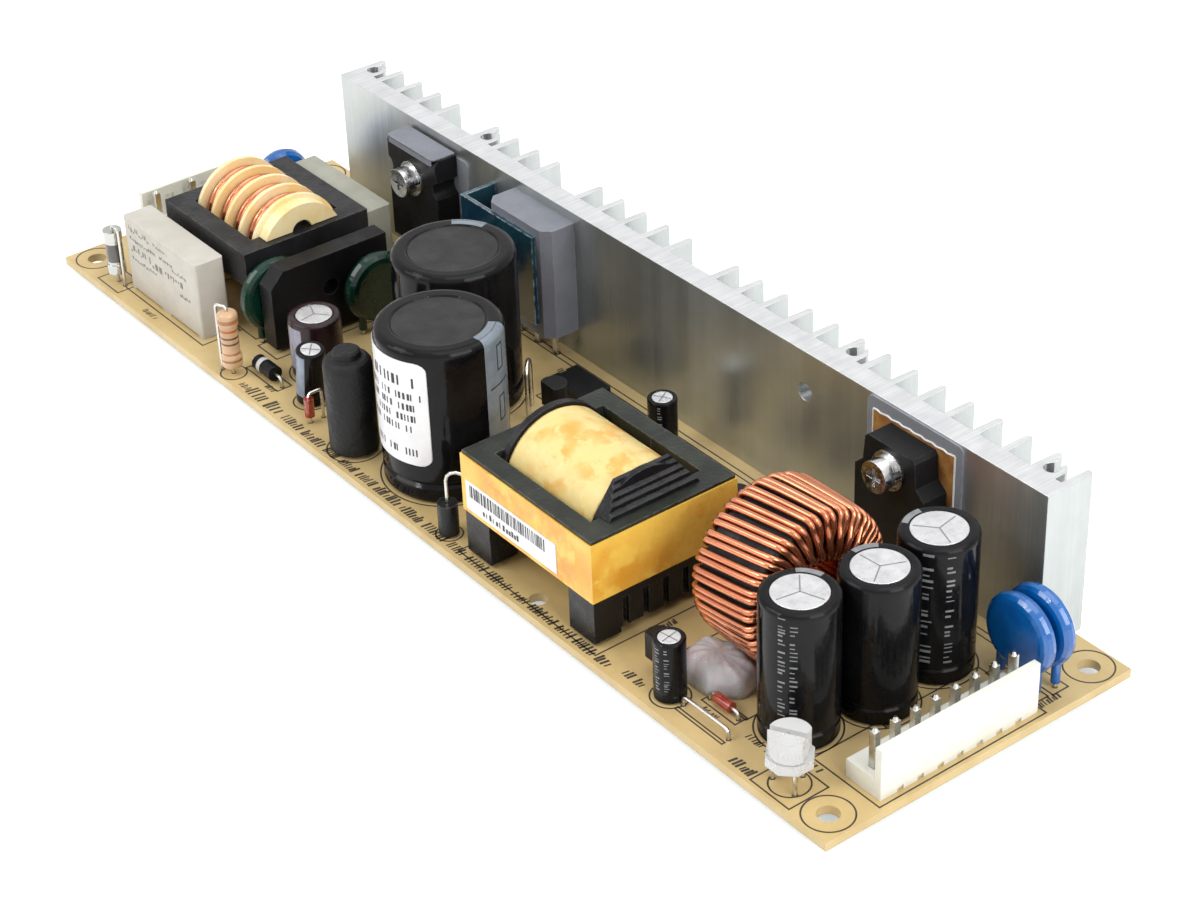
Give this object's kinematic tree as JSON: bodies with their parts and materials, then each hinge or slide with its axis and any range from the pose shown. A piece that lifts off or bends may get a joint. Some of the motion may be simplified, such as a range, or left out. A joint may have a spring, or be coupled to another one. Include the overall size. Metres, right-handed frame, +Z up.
{
  "type": "open frame power supply",
  "caption": "Open frame power supply: a long printed board with line filter, transformer, output choke, capacitors, pin headers and a finned heatsink along its rear edge.",
  "frame": {"origin": "centre of the four mounting holes, on the underside of the board", "axes": "+X along the board to the output connector, +Y across it to the heatsink, +Z up from the board to its parts"},
  "size_m": [0.222, 0.0637, 0.033],
  "materials": {
    "board_laminate": "satin",
    "heatsink_aluminium": "satin, extruded",
    "screw_steel": "zinc plated",
    "connector_nylon": "satin",
    "pin_tin": "tinned",
    "fuse_ceramic": "glazed with tinned ends",
    "film_case": "satin",
    "film_case_rear": "satin",
    "choke_ferrite": "satin",
    "choke_bobbin": "satin",
    "choke_wire": "enamelled copper",
    "blue_coating": "glossy",
    "green_coating": "glossy",
    "black_epoxy": "satin",
    "resistor_lacquer": "lacquered",
    "brown_sleeve": "glossy",
    "red_glass": "glossy",
    "shrink_sleeve": "satin",
    "black_sleeve": "glossy",
    "white_label": "satin",
    "transformer_ferrite": "satin",
    "transformer_bobbin": "satin",
    "winding_tape": "satin",
    "core_tape": "satin",
    "ring_powder": "coated",
    "ring_wire": "enamelled copper",
    "soft_adhesive": "translucent",
    "trimmer_plastic": "satin",
    "silicone_rubber": "satin",
    "clamp_steel": "glossy dark blue",
    "mica": "satin",
    "solder": "bright"
  },
  "bodies": {
    "supply": {"pcb": "board_laminate", "heatsink": "heatsink_aluminium", "heatsink_screws": "screw_steel", "input_connector_housing": "connector_nylon", "input_connector_pins": "pin_tin", "fuse_tube": "fuse_ceramic", "axial_leads": "pin_tin", "film_capacitor_front": "film_case", "film_capacitor_rear": "film_case_rear", "line_choke_core": "choke_ferrite", "line_choke_bobbin": "choke_bobbin", "line_choke_windings": "choke_wire", "input_disc_capacitor": "blue_coating", "inrush_thermistor": "green_coating", "surge_varistor": "green_coating", "bridge_rectifier": "black_epoxy", "bleeder_resistor": "resistor_lacquer", "snubber_diode": "black_epoxy", "starting_capacitor": "brown_sleeve", "glass_diodes": "red_glass", "damping_coil": "shrink_sleeve", "bulk_capacitor_a": "black_sleeve", "bulk_capacitor_b": "black_sleeve", "bulk_capacitor_label": "white_label", "ferrite_bead": "choke_ferrite", "wire_links": "pin_tin", "small_transistors": "black_epoxy", "controller_chip": "black_epoxy", "small_capacitors": "black_sleeve", "transformer_core_a": "transformer_ferrite", "transformer_core_b": "transformer_ferrite", "transformer_bobbin": "transformer_bobbin", "transformer_winding": "winding_tape", "transformer_tape": "core_tape", "transformer_label": "white_label", "transformer_pins": "pin_tin", "optocouplers": "black_epoxy", "output_choke_ring": "ring_powder", "output_choke_winding": "ring_wire", "adhesive_block": "soft_adhesive", "output_capacitor_a": "black_sleeve", "output_capacitor_b": "black_sleeve", "output_capacitor_c": "black_sleeve", "trimmer_base": "trimmer_plastic", "output_connector_housing": "connector_nylon", "output_connector_pins": "pin_tin", "output_disc_capacitors": "blue_coating", "switching_transistor": "black_epoxy", "clamped_transistor": "black_epoxy", "silicone_cap": "silicone_rubber", "clamp_plate": "clamp_steel", "output_rectifier": "black_epoxy", "rectifier_mica": "mica", "thermal_pads": "silicone_rubber", "device_screws": "screw_steel", "device_washers": "screw_steel", "component_leads": "pin_tin", "solder_joints": "solder"},
    "rotor": {"trimmer_rotor": "trimmer_plastic"}
  },
  "joints": [
    {"name": "trimmer_turn", "type": "hinge", "parent": "supply", "child": "rotor", "pos_m": [0.0979, -0.0263, 0.0076], "axis": [0, 0, 1], "range_deg": [-120, 120]}
  ]
}
